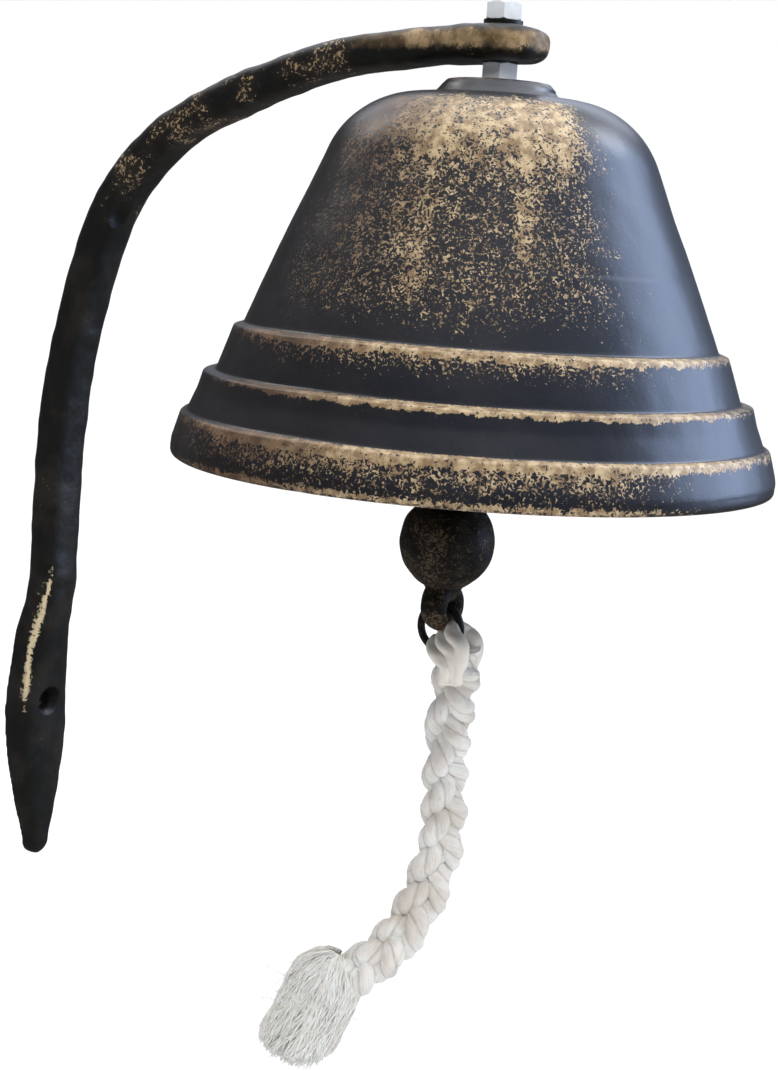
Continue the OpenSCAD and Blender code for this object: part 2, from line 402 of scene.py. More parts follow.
def bell_section():
    """Outside and inside outlines of the bell, as (radius, height above the mouth)."""
    t = np.radians(np.linspace(23, 88, 22))
    shoulder = [(22.4 + 28 * math.cos(a), 81 + 28 * math.sin(a), 0) for a in t]
    outside = [
        (85.4, 1.2, 0), (86.4, 0.0, 0.9), (89.7, 0.1, 1.5), (89.75, 4.5, 8), (87.3, 12.9, 1.2),
        (85.4, 13.7, 1.0), (82.7, 20.0, 16), (81.2, 25.2, 1.0), (77.6, 25.7, 0.9), (72.9, 39.0, 1.1),
        (70.0, 39.9, 0.9), (cone(62), 62, 0), *shoulder, (20.4, 109.0, 0), (19.0, 109.3, 0.8),
        (15.2, 113.3, 1.2), (3.4, 113.5, 0),
    ]
    inner = [(22.4 + 24 * math.cos(a), 81 + 24 * math.sin(a), 0) for a in t[::-1]]
    inside = [(3.4, 105.0, 0), (20, 105.0, 0), *inner, (66.2, 40, 3), (76.5, 24, 8), (82.0, 12, 12),
              (85.0, 1.0, 0.8), (85.4, 1.2, 0)]
    return filleted(outside, 0.75), filleted(inside, 1.8)


def make_bell():
    outside, inside = bell_section()
    line = np.vstack([outside, inside[:-1]])
    count = 400
    angles = np.linspace(0, 2 * math.pi, count, endpoint=False)
    ring = np.stack([np.cos(angles), np.sin(angles), np.zeros(count)], 1)
    verts = line[:, 0][:, None, None] * ring + np.array([REACH, 0, MOUTH_Z])
    verts[:, :, 2] += line[:, 1][:, None]
    flat = verts.reshape(-1, 3)
    outward = np.tile(ring, (len(line), 1))
    height = np.repeat(line[:, 1], count)
    near_hole = np.repeat(line[:, 0], count) < 17
    waver = 0.28 * ripple(flat, 34, 1) + 0.10 * ripple(flat, 11, 2) + 0.03 * ripple(flat, 4, 3)
    waver[near_hole] = 0
    flat = flat + outward * waver[:, None] * np.where(height < 3, 0.6, 1.0)[:, None] - outward * 0.25
    flat[:, 2] += np.where((height > 6) & (height < 60), 0.18 * ripple(flat * [1, 1, 0], 30, 4), 0)
    faces = grid_faces(len(line), count)
    last = (len(line) - 1) * count
    k = np.arange(count)
    faces += np.stack([last + k, last + (k + 1) % count, (k + 1) % count, k], 1).tolist()
    # a shallow nick in the lip
    nick = Vector((REACH, 0, MOUTH_Z)) + (-AHEAD * 0.86 - RIGHT * 0.5).normalized() * 89.4
    away = np.linalg.norm((flat - np.array(nick) - [0, 0, 1.5]) / [1, 1, 0.7], axis=1)
    flat -= outward * (0.9 * np.exp(-(away / 2.6) ** 2))[:, None]
    bell = new_mesh("bell_casting", flat, faces)
    rows = len(outside)
    kinds = np.zeros(len(faces), np.int32)
    kinds[(rows - 1) * count:] = 1
    bell.data.materials.append(bell_paint())
    bell.data.materials.append(raw_paint())
    bell.data.polygons.foreach_set("material_index", kinds)
    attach(bell, "bell_and_bracket")
    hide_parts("bell")


def bell_paint():
    p = Paint("bell_paint")
    x, y, z = p.split()
    x = p.sub(x, REACH * MM)
    h = p.mul(p.sub(z, MOUTH_Z * MM), 1000.0)
    r = p.math("SQRT", p.add(p.mul(x, x), p.mul(y, y)))
    side = p.math("DIVIDE", p.add(p.mul(x, RIGHT.x), p.mul(y, RIGHT.y)), r)
    front = p.math("DIVIDE", p.add(p.mul(x, -AHEAD.x), p.mul(y, -AHEAD.y)), r)
    big = p.noise(28, 2.0, 0.5)
    mid = p.noise(95, 3.0, 0.6)
    rag = p.sub(p.noise(240, 3.0, 0.65), 0.5)

    # how much gold was brushed on round the bell: little on the right of the front, patchy at the back
    right_fade = p.ramp(p.add(side, p.mul(p.sub(mid, 0.5), 0.5)), 0.42, 0.78, 1.0, 0.0)
    left_fade = p.ramp(side, -1.0, -0.72, 0.35, 1.0)
    at_front = p.mul(right_fade, left_fade)
    at_back = p.ramp(big, 0.34, 0.62, 0.72, 0.98)
    around = p.node("ShaderNodeMix", data_type="FLOAT")
    p.put(around.inputs[0], p.ramp(front, -0.25, 0.1))
    p.put(around.inputs[2], at_back)
    p.put(around.inputs[3], at_front)
    around = around.outputs[0]

    # body: thick on the shoulder with runs below it, thinner down the wall, bare above the first step
    edge = p.add(h, p.mul(rag, 34.0))
    edge = p.add(edge, p.mul(p.sub(big, 0.5), 22.0))
    lower_edge = p.add(h, p.mul(rag, 16.0))
    lower_edge = p.add(lower_edge, p.mul(p.sub(big, 0.5), 14.0))
    shoulder = p.mul(p.ramp(edge, 84, 100), p.ramp(h, 108.6, 104.5, 0.0, 1.0))
    wall = p.mul(p.ramp(lower_edge, 37, 54, 0.0, 1.0), p.ramp(h, 109, 106))
    streak = p.noise(1.0, 2.0, 0.5, vector=p.scaled((230, 230, 26)))
    streak = p.mul(p.ramp(streak, 0.53, 0.70), p.ramp(h, 42, 66))
    body = p.add(p.mul(shoulder, 0.34), p.mul(wall, 0.46))
    body = p.add(body, p.mul(p.mul(streak, wall), 0.13))
    for place, low, much in ((-0.31, 48, 0.22), (0.17, 60, 0.30), (0.40, 84, 0.2), (-0.42, 56, 0.14)):
        off = p.math("DIVIDE", p.sub(p.add(side, p.mul(rag, 0.10)), place), 0.045)
        run = p.mul(p.bell_curve(off), p.mul(p.ramp(h, low, low + 9), p.ramp(front, 0.0, 0.2)))
        body = p.add(body, p.mul(run, much))
    body = p.mul(body, around)

    # the three edges: a sharp top, and a ragged lower edge with specks below it
    edges = 0.0
    bands = 0.0
    fade = p.mul(p.ramp(side, -0.96, -0.62, 0.12, 1.0), p.ramp(side, 0.72, 0.98, 1.0, 0.45))
    steps = ((39.75, 2.3, 10.0, 0.62), (25.7, 1.9, 2.5, 0.32), (13.55, 2.6, 16.0, 0.72))
    for top, thick, below, much in steps:
        depth = p.sub(top, h)
        rough = p.add(depth, p.mul(rag, 4.2))
        solid = p.mul(p.ramp(depth, -0.35, 0.05), p.ramp(rough, thick * 0.55, thick * 1.25, 1.0, 0.0))
        edges = p.add(edges, solid)
        specks = p.mul(p.ramp(depth, 0.2, 0.5), p.ramp(depth, 0.5, below + 1.5, 1.0, 0.1))
        bands = p.add(bands, p.mul(p.mul(specks, p.ramp(depth, 13, 12.4)), much))
    lip = p.mul(p.ramp(p.add(h, p.mul(rag, 3.0)), 1.2, 3.0, 1.0, 0.0), 0.72)
    lower = p.mul(p.add(bands, lip), p.add(p.mul(around, 0.75), 0.25))
    edges = p.mul(edges, fade)
    density = p.add(p.add(body, lower), edges, clamp=True)
    gold = gold_grain(p, density, 1.3)
    boss = p.mul(p.ramp(h, 112.2, 113.2), 0.55)
    gold = p.math("MAXIMUM", gold, p.mul(boss, p.ramp(mid, 0.45, 0.6)), clamp=True)

    # painted light: the black base is tinted blue towards the right, where the blue window light falls, and
    # warm brown towards the shaded left
    dark = p.mix(p.ramp(side, -0.95, 0.2), (0.010, 0.008, 0.0075), (0.010, 0.012, 0.019))
    dark = p.mix(p.mul(p.ramp(mid, 0.4, 0.65), 0.25), dark, (0.024, 0.021, 0.021))
    # painted shade: towards the left, away from the light, the gold specks take this dimmer brown copy of the
    # gold colour
    shaded_gold = p.mix(p.ramp(mid, 0.4, 0.6), (0.105, 0.06, 0.034), (0.21, 0.13, 0.075))
    tone = p.mix(p.ramp(p.add(side, p.mul(rag, 0.4)), -0.72, -0.28), shaded_gold, gold_colour(p))
    colour = p.mix(gold, dark, tone)
    orange_peel = p.bump(p.noise(1300, 2.0, 0.5), 0.10, 0.0003)
    lumps = p.bump(p.noise(170, 3.0, 0.55), 0.22, 0.0006, orange_peel)
    flakes = p.bump(gold, 0.22, 0.00012, lumps)
    p.set(Base_Color=colour, Roughness=p.ramp(gold, 0, 1, 0.36, 0.55), Metallic=p.mul(gold, 0.2),
          Normal=flakes)
    p.set(Coat_Weight=0.25, Coat_Roughness=0.34)
    return p.material


def raw_paint():
    p = Paint("inside_paint")
    dust = p.ramp(p.noise(120, 4.0, 0.65), 0.5, 0.7)
    p.set(Base_Color=p.mix(p.mul(dust, 0.5), (0.010, 0.010, 0.010), (0.045, 0.038, 0.03)),
          Roughness=0.62, Normal=p.bump(p.noise(420, 4.0, 0.6), 0.35, 0.0006))
    return p.material


make_bell()


# ---------------------------------------------------------------- bracket
LEAF_END_Z = -53.5
DIMPLE = np.array([36.5, -4.5, 172.0])
DIMPLE_ALONG = np.array([0.36, 0, 0.93])


def arm_line():
    """Centreline of the arm and leg, from the pad down to the top of the leaf."""
    points = []
    x, z, turned_by = REACH, ARM_MID_Z, 0.0
    for radius, until in ((265.0, 24.0), (76.0, 70.0), (255.0, 90.0)):
        steps = max(4, int((until - turned_by) * math.pi / 180 * radius / 3))
        for k in range(steps):
            a = math.radians(turned_by + (until - turned_by) * k / steps)
            f = math.radians(turned_by)
            points.append([x - radius * (math.sin(a) - math.sin(f)), 0,
                           z - radius * (math.cos(f) - math.cos(a))])
        a, f = math.radians(until), math.radians(turned_by)
        x -= radius * (math.sin(a) - math.sin(f))
        z -= radius * (math.cos(f) - math.cos(a))
        turned_by = until
    points += [[x, 0, z + (30 - z) * k / 12] for k in range(13)]
    return np.array(points)


def leaf_half(z):
    """Half the width of the leg and leaf at height z."""
    if z > -6:
        return 8.25 + 2.15 * (1 + math.cos(math.pi * min(1, (z + 6) / 31)))
    if z > LEAF_END_Z:
        return 12.55 - (z + 6) ** 2 * 9.0 / 47.5 ** 2
    return 4.2


def make_bracket():
    line = arm_line()
    line = smooth_path(line[line[:, 2] > 44], 2.2)
    way, _, _ = frames_along(line)
    t = np.linspace(0, 2 * math.pi, 72, endpoint=False)
    power = 2 / 3.2
    ct, st = np.cos(t), np.sin(t)
    oval = np.stack([np.sign(ct) * np.abs(ct) ** power, np.sign(st) * np.abs(st) ** power], 1)
    rings = []
    for a in np.linspace(0.06, 1.45, 12):
        end = np.array([REACH + 14.2 * math.cos(a), 0, ARM_MID_Z + 0.1])
        plump = math.sin(a) ** 0.55
        rings.append(end + 5.4 * plump * oval[:, :1] * [[0, 0, -1]]
                     + 13.9 * math.sin(a) * oval[:, 1:] * [[0, 1, 0]])
    for i, p in enumerate(line):
        across = np.array([-way[i][2], 0, way[i][0]])
        swell = 1 + 0.015 * math.sin(i * 0.19) + 0.01 * math.sin(i * 0.47 + 1)
        thick = np.interp(p[2], [44, 120, 190, 215, 227], [6.15, 6.1, 5.9, 5.7, 5.3]) * swell
        near = min(1.0, max(0.0, (p[0] - 140) / 32))
        wide = 8.25 + 5.4 * near * near * (3 - 2 * near)
        lift = 0.9 * math.exp(-((p[0] - 115) / 30) ** 2)
        rings.append(p + [0, 0, lift] + thick * oval[:, :1] * across + wide * oval[:, 1:] * [[0, 1, 0]])
    # the leg runs on into the leaf, which is flat on the wall
    leg_x = line[-1][0]
    levels = np.linspace(90, LEAF_END_Z, 144)

    def eased(heights, values):
        """A line through values at heights, with its corners rounded over about 14 mm."""
        line = np.interp(levels, heights, values)
        return np.convolve(np.pad(line, 7, mode="edge"), np.ones(15) / 15, "valid")

    front = eased([-57, -50, -20, 0, 10, 20, 32, 46], [5.2, 7.0, 9.4, 10.8, 11.9, 13.4, 15.2, leg_x + 6.15])
    back = eased([0, 10, 22, 34, 46], [0, 0.9, 2.6, 4.0, leg_x - 6.15])
    half = eased(levels[::-1], [leaf_half(z) for z in levels[::-1]])
    blend = eased([-12, 40], [0, 1])
    lean = eased([-57, -30, 0, 25], [4.6, 3.0, 0.8, 0])
    centre = blend * (front + back) / 2
    thick = blend * (front - back) / 2 + (1 - blend) * front
    bottom = [(LEAF_END_Z - 4.9 * math.sin(a), math.cos(a)) for a in np.linspace(0.2, math.pi / 2, 8)]
    rows = [(z, centre[k], lean[k], thick[k], half[k]) for k, z in enumerate(levels) if z < 43]
    rows += [(z, centre[-1], lean[-1], thick[-1] * (0.62 + 0.38 * c), 0.15 + half[-1] * c) for z, c in bottom]
    for z, middle, shift, deep, wide in rows:
        row = (np.array([middle, shift, z]) + deep * oval[:, :1] * [[1, 0, 0]]
               + wide * oval[:, 1:] * [[0, 1, 0]])
        row[:, 0] = np.maximum(row[:, 0], 0)
        rings.append(row)
    faces = grid_faces(len(rings), len(t))
    last = (len(rings) - 1) * len(t)
    faces += [list(range(len(t)))[::-1], [last + k for k in range(len(t))]]
    arm = new_mesh("arm", np.array(rings).reshape(-1, 3), faces)

    bracket = cast_together("bracket_casting", [arm], 0.62, 11)
    co, normal = vertices_of(bracket), normals_of(bracket)
    push = 0.16 * ripple(co, 9, 21) + 0.09 * ripple(co, 3.6, 22)
    # an oval dimple with a low rim, on the bend
    away = co - DIMPLE
    down = away @ DIMPLE_ALONG
    across = np.linalg.norm(away - down[:, None] * DIMPLE_ALONG, axis=1)
    oval_away = (down / 5.0) ** 2 + (across / 3.1) ** 2
    push -= 2.0 * np.exp(-oval_away ** 1.5)
    push += 0.25 * np.exp(-((np.sqrt(oval_away) - 1.35) / 0.25) ** 2)
    push = np.where(co[:, 0] < 0.6, np.minimum(push, 0), push)
    near_bolt = np.hypot(co[:, 0] - REACH, co[:, 1]) < 8.5
    push = np.where(near_bolt, 0, push)
    co = co + normal * push[:, None]
    co[:, 0] = np.maximum(co[:, 0], 0.0)
    set_vertices(bracket, co)
    bolt = [(0, -9), (3.3, -9), (3.3, 9), (0, 9)]
    screw = [(0, -3), (3.0, -3), (3.0, 7.0), (3.6, 8.0), (5.2, 10.6), (5.8, 13), (0, 13)]
    cut(bracket, [turned("bolt_hole", bolt, (REACH, 0, ARM_MID_Z), segments=48),
                  turned("screw_hole", screw, (0, 0, 0), (1, 0, 0), 64)])
    bracket.data.materials.clear()
    bracket.data.materials.append(bracket_paint())
    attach(bracket, "bell_and_bracket")
    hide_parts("bracket")


def bracket_paint():
    p = Paint("bracket_paint")
    x, y, z = (p.mul(part, 1000.0) for part in p.split())
    mid = p.noise(75, 3.0, 0.6)
    rag = p.sub(p.noise(190, 3.0, 0.65), 0.5)
    # gold on the arm's flank near its end, scattered round the bend, sparse down the leg
    upper = p.ramp(p.add(p.sub(z, 226.0), p.mul(rag, 6.0)), -2.0, 0.6)
    top = p.ramp(p.add(z, p.mul(rag, 3.0)), 231.4, 228.6)
    patch = p.mul(p.ramp(p.add(x, p.mul(rag, 26.0)), 118, 150), p.mul(upper, top))
    patch = p.mul(patch, p.ramp(mid, 0.36, 0.5, 0.55, 1.0))
    bend = p.mul(p.ramp(z, 140, 185), p.ramp(mid, 0.42, 0.62, 0.1, 0.46))
    leg = p.mul(p.ramp(z, 150, 60, 0.0, 1.0), p.ramp(mid, 0.45, 0.68, 0.03, 0.24))
    # the leaf's ridge runs down from the leg's middle to the leaf's outer edge, with gold rubbed on it and a
    # paler painted highlight along it
    ridge_y = p.ramp(z, 0.0, 52.0, -9.6, -6.4, smooth=False)
    off = p.math("DIVIDE", p.sub(y, p.add(ridge_y, p.mul(rag, 1.0))), 0.68)
    ridge_gold_and_highlight = p.mul(p.bell_curve(off), p.mul(p.ramp(z, -12, 10), p.ramp(z, 58, 40, 0.0, 1.0)))
    outer = p.sub(x, p.add(10.3, p.mul(z, 0.115)))
    ridge_gold_and_highlight = p.mul(ridge_gold_and_highlight, p.ramp(outer, -6.2, -4.2))
    density = p.add(p.add(p.mul(patch, 0.45), bend), leg)
    density = p.add(density, p.mul(ridge_gold_and_highlight, 1.0), clamp=True)
    gold = gold_grain(p, density, 0.9)
    gold = p.math("MAXIMUM", gold, p.mul(patch, 0.78))
    dark = p.mix(p.ramp(mid, 0.4, 0.66), (0.007, 0.0075, 0.007), (0.019, 0.016, 0.013))
    tone = p.mix(p.ramp(mid, 0.35, 0.6), (0.20, 0.128, 0.06), (0.42, 0.30, 0.165))
    # the gold tone turns a darker grey-brown below 200 to 150 mm
    tone_greyer_below = p.mix(p.ramp(z, 200, 150, 0.0, 1.0), tone, (0.16, 0.14, 0.115))
    # painted highlight: along the ridge the gold turns a pale, brighter colour, as if catching the light
    tone_and_ridge_highlight = p.mix(ridge_gold_and_highlight, tone_greyer_below, (0.72, 0.60, 0.38))
    colour = p.mix(gold, dark, tone_and_ridge_highlight)
    lumps = p.bump(p.noise(240, 4.0, 0.6), 0.45, 0.0007, p.bump(p.noise(1200, 2.0, 0.5), 0.15, 0.0002))
    p.set(Base_Color=colour, Roughness=p.ramp(gold, 0, 1, 0.44, 0.5), Metallic=p.mul(gold, 0.15),
          Normal=lumps, Specular_IOR_Level=0.36)
    return p.material


make_bracket()


# ---------------------------------------------------------------- clapper
def make_clapper():
    x = HANG_X
    shank = [(0, 79, 0), (8.5, 79, 0), (7.0, 92, 5), (4.3, 96, 6), (3.9, 110, 20), (3.8, 150, 10),
             (4.2, 163, 3), (3.0, 166.5, 1), (0, 166.5, 0)]
    neck = [(0, 62.0, 0), (3.8, 62.4, 1), (5.0, 64.6, 3), (6.4, 68.2, 3), (10, 72, 0), (0, 74, 0)]
    parts = [
        torus("ear", (x, 0, 171.0), 5.5, 2.5, (0, 1, 0), 72, 24),
        turned("shank", filleted(shank, 1.0), (x, 0, 0), segments=64),
        ball("globe", (x, 0, 80.0), 14.6),
        turned("neck", filleted(neck, 0.8), (x, 0, 0), segments=64),
        torus("lug", (0, 0, 0), 5.2, 3.0, (1, 0, 0), 72, 24),
    ]
    set_vertices(parts[-1], vertices_of(parts[-1]) * [1.42, 1, 1] + [x, 0, 60.6])
    clapper = cast_together("clapper_casting", parts, 0.42, 5)
    co, normal = vertices_of(clapper), normals_of(clapper)
    push = 0.16 * ripple(co, 8, 31) + 0.09 * ripple(co, 3, 32) - 0.05
    to_upper = np.linalg.norm(co - [x, 0, 176.5], axis=1)
    to_lower = np.linalg.norm(co - [x, 0, 57.0], axis=1)
    push = np.where(np.minimum(to_upper, to_lower) < 4.0, -0.02, push)
    set_vertices(clapper, co + normal * push[:, None])
    clapper.data.materials.clear()
    clapper.data.materials.append(clapper_paint())
    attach(clapper, "clapper_body")
    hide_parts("clapper")


def clapper_paint():
    p = Paint("clapper_paint")
    z = p.mul(p.split()[2], 1000.0)
    mid = p.noise(150, 3.0, 0.6)
    wide = p.noise(60, 2.0, 0.5)
    density = p.mul(p.ramp(wide, 0.38, 0.58, 0.36, 0.6), p.ramp(z, 96, 84, 0.4, 1.0))
    low = p.mul(p.ramp(z, 60.5, 57.5, 0.0, 1.0), 0.3)
    gold = p.mul(gold_grain(p, p.add(density, low), 1.3), 0.6)
    dark = p.mix(p.ramp(mid, 0.42, 0.65), (0.007, 0.006, 0.005), (0.022, 0.017, 0.011))
    tone = p.mix(low, (0.13, 0.092, 0.05), (0.26, 0.135, 0.055))
    lumps = p.bump(p.noise(330, 4.0, 0.62), 0.5, 0.0006)
    p.set(Base_Color=p.mix(gold, dark, tone), Roughness=p.ramp(mid, 0.3, 0.7, 0.55, 0.7), Normal=lumps,
          Specular_IOR_Level=0.25)
    return p.material


make_clapper()


# ---------------------------------------------------------------- metal parts: CAD shapes, with finishes
def zinc_paint():
    p = Paint("zinc")
    cloud = p.noise(420, 3.0, 0.6)
    p.set(Base_Color=p.mix(p.ramp(cloud, 0.35, 0.7), (0.93, 0.96, 1.0), (0.84, 0.89, 0.95)), Metallic=0.2,
          Roughness=0.28, Normal=p.bump(p.noise(1500, 3.0, 0.6), 0.05, 0.0001))
    return p.material


def dark_steel_paint():
    p = Paint("dark_steel")
    rust = p.ramp(p.noise(380, 4.0, 0.65), 0.52, 0.7)
    p.set(Base_Color=p.mix(rust, (0.022, 0.023, 0.021), (0.075, 0.05, 0.032)), Metallic=0.6, Roughness=0.42,
          Normal=p.bump(p.noise(1100, 3.0, 0.6), 0.3, 0.0003))
    return p.material


def finish_hardware():
    zinc, dark = zinc_paint(), dark_steel_paint()
    bright_parts = ("eye_bolt", "top_nut", "spacer_nut", "inner_washer", "inner_nut")
    dark_parts = ("lock_washer", "clapper_link", "rope_ring")
    for names, material in ((bright_parts, zinc), (dark_parts, dark)):
        for name in names:
            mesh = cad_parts[name].data
            mesh.materials.clear()
            mesh.materials.append(material)


finish_hardware()


# ---------------------------------------------------------------- rope
ROPE_POINTS = [
    (174, 2, 45), (173, 3.5, 39.5), (172, 4.5, 34.5), (171, 5.5, 29), (170, 6.5, 23.5), (169, 7.5, 18),
    (168.5, 8.5, 12.5), (168, 9.5, 7), (168, 10, 1.5), (168, 10, -4), (168, 10, -9.5), (168, 10, -15),
    (167.5, 10, -20.5), (166.5, 9.5, -26), (165.5, 9, -31), (164, 8, -36.5), (162, 7, -41.5),
    (160, 5.5, -46.5), (157.5, 4, -51), (154.5, 2, -55), (151, 0, -59),
]
TASSEL_FROM = np.array([140.0, -5.5, -63.5])
TASSEL_TO = np.array([131.0, -10.5, -88.0])
TASSEL_HEAD_R = 10.6
YARN_REACH = 12.2
BRAID_PERIOD = 38.0
STRAND_R = 3.45
FOLD_CORD_R = 2.55
PLIES = 3


def cord_tube(path, radius, lay, around, swell, start_turn, taper=None, keep=None):
    """A twisted cord along a path: plies bulge from it and wind round it once every lay millimetres."""
    way, side, other = frames_along(path)
    run = np.r_[0, np.cumsum(np.linalg.norm(np.diff(path, axis=0), axis=1))]
    t = np.linspace(0, 2 * math.pi, around, endpoint=False)
    turn = 2 * math.pi * run / lay + start_turn
    phase = t[None, :] + turn[:, None]
    bulge = np.abs(np.cos(PLIES * phase / 2)) ** 0.75
    size = radius * (1 - swell + swell * 1.3 * bulge)
    if taper is not None:
        size = size * taper[:, None]
    size = size + 0.07 * np.sin(11 * phase + run[:, None] * 2.3) + 0.05 * np.sin(17 * t[None, :] - 5 * phase)
    ring = np.cos(t)[None, :, None] * side[:, None] + np.sin(t)[None, :, None] * other[:, None]
    verts = path[:, None] + ring * size[..., None]
    uv = np.stack([phase / (2 * math.pi), np.broadcast_to(run[:, None] / 10, size.shape)], -1)
    if keep is not None:
        verts, uv = verts[keep], uv[keep]
    faces = grid_faces(len(verts), around)
    last = (len(verts) - 1) * around
    faces += [list(range(around))[::-1], [last + k for k in range(around)]]
    return verts.reshape(-1, 3), faces, uv.reshape(-1, 2)


def merged(name, pieces):
    verts, faces, uvs, start = [], [], [], 0
    for v, f, u in pieces:
        verts.append(v)
        uvs.append(u)
        faces += [[i + start for i in face] for face in f]
        start += len(v)
    return new_mesh(name, np.vstack(verts), faces, uvs=np.vstack(uvs))


def braid_strands():
    """Centrelines of the three cords of the braid, from the ring to the frayed end."""
    end = [(147, -2.4, -62.6), (141.5, -5.0, -66.5)]
    core = smooth_path([(174.0, 1.2, 49.0)] + ROPE_POINTS + end, 0.55)
    way, _, _ = frames_along(core)
    run = np.r_[0, np.cumsum(np.linalg.norm(np.diff(core, axis=0), axis=1))]
    face = np.array(AHEAD)
    wide = np.cross(way, face)
    wide /= np.linalg.norm(wide, axis=1, keepdims=True)
    deep = np.cross(way, wide)
    slew = np.interp(run, [0, 25, 45, 75, 100, 125], [0.9, 0.25, -0.75, -0.15, 0.5, 0.2])[:, None]
    wide, deep = wide * np.cos(slew) + deep * np.sin(slew), deep * np.cos(slew) - wide * np.sin(slew)
    strands = []
    stretch = run + 1.1 * np.sin(run / 9.0)
    for k in range(3):
        phase = 2 * math.pi * (stretch / BRAID_PERIOD + k / 3)
        out = 3.9 + 0.35 * np.sin(run / 13 + k)
        x = out * np.sin(phase)
        y = 2.3 * np.sin(2 * phase)
        strands.append((core + wide * x[:, None] + deep * y[:, None], run))
    return core, strands


def make_rope():
    core, strands = braid_strands()
    stop = int(np.argmin(np.linalg.norm(core - np.array(ROPE_POINTS[-1]), axis=1)))
    cotton = cotton_paint()
    made = []
    for name, keep, node in (("rope_braid", slice(0, stop), "rope"),
                             ("rope_end", slice(stop - 1, None), "rope_knot")):
        pieces = []
        for k, (path, run) in enumerate(strands):
            fat = np.interp(run, [0, 6, 14, 100, 122], [0.82, 0.95, 1.0, 1.03, 1.14])
            pieces.append(cord_tube(path, STRAND_R + 0.12 * k, 17.0, 36, 0.19, k * 2.1, fat, keep))
        rope = merged(name, pieces)
        rope.data.materials.append(cotton)
        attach(rope, "pull_rope")
        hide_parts(node)
        made.append(rope)
    return made[0], made[1], strands


def make_fold():
    """The cords' fold through the ring: three turns of cord, side by side over its wire."""
    hook = np.array([HANG_X + 7 * math.sin(LOOP_TURN), 0, RING_Z - 7 * math.cos(LOOP_TURN)])
    inward = np.array([-math.sin(LOOP_TURN), 0, math.cos(LOOP_TURN)])
    along = np.array([math.cos(LOOP_TURN), 0, math.sin(LOOP_TURN)])
    wide = np.array([0, 1.0, 0])
    pieces = []
    for k, (shift, lean) in enumerate(((-4.9, 0.5), (-0.6, 0.0), (3.7, -0.5))):
        foot = np.array([173.6 + shift * 0.45, 2.6, 41.5])
        path = [foot + wide * 2.6 + [0, 0, -3.0],
                hook + along * shift * 0.8 + wide * 4.5 - inward * 3.2 + [0.6, 0, 0],
                hook + along * shift + wide * 3.5 + inward * 1.3,
                hook + along * shift * 0.95 + wide * 0.2 + inward * (4.4 + 0.5 * lean),
                hook + along * shift - wide * 3.4 + inward * 1.2,
                hook + along * shift * 0.8 - wide * 4.3 - inward * 3.4 + [0.6, 0, 0],
                foot - wide * 3.6 + [lean, 0, -3.5]]
        pieces.append(cord_tube(smooth_path(path, 0.5), FOLD_CORD_R, 24.0, 30, 0.12, k * 1.3))
    fold = merged("rope_fold", pieces)
    fold.data.materials.append(bpy.data.materials["cotton"])
    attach(fold, "pull_rope")
    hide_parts("rope_loop")
    return fold


def thin_tubes(lines, radii, sides):
    """Many fine threads at once: lines is (count, points, 3)."""
    count, points = lines.shape[:2]
    way = np.gradient(lines, axis=1)
    way /= np.maximum(np.linalg.norm(way, axis=2, keepdims=True), 1e-9)
    side = np.cross(way, np.array([0.31, 0.87, 0.38]))
    side /= np.maximum(np.linalg.norm(side, axis=2, keepdims=True), 1e-9)
    other = np.cross(way, side)
    t = np.arange(sides) * 2 * math.pi / sides
    ring = np.cos(t)[:, None] * side[:, :, None] + np.sin(t)[:, None] * other[:, :, None]
    shape = np.ones(points)
    shape[-1] = 0.45
    size = np.asarray(radii, float).reshape(-1, 1, 1, 1) * shape[None, :, None, None]
    verts = (lines[:, :, None] + ring * size).reshape(-1, 3)
    i = np.arange(count)[:, None, None] * points * sides
    r = np.arange(points - 1)[None, :, None] * sides
    c = np.arange(sides)[None, None, :]
    n = (c + 1) % sides
    faces = np.stack([i + r + c, i + r + n, i + r + sides + n, i + r + sides + c], -1).reshape(-1, 4)
    caps = (np.arange(count)[:, None] * points * sides + (points - 1) * sides + np.arange(sides)[None, :])
    return verts, faces.tolist() + caps.tolist()


def make_fuzz(strands):
    """Short loose fibres that stand off the cords."""
    r = np.random.default_rng(5)
    lines = []
    for path, run in strands:
        way, side, other = frames_along(path)
        for i in r.integers(4, len(path) - 4, 420):
            a = r.uniform(0, 2 * math.pi)
            out = math.cos(a) * side[i] + math.sin(a) * other[i]
            tangent = way[i] * r.choice([-1, 1]) + r.normal(size=3) * 0.5
            tangent /= np.linalg.norm(tangent)
            length = r.uniform(1.2, 4.0)
            s = np.linspace(0, 1, 6)[:, None]
            lift = r.uniform(0.15, 0.75)
            lines.append(path[i] + out * (3.15 + lift * length * 0.35 * s**1.4) + tangent * length * s
                         + r.normal(size=3) * 0.35 * s**2)
    verts, faces = thin_tubes(np.array(lines), r.uniform(0.035, 0.07, len(lines)), 3)
    fuzz = new_mesh("rope_fuzz", verts, faces)
    fuzz.data.materials.append(bpy.data.materials["cotton_thread"])
    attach(fuzz, "pull_rope")
    return fuzz


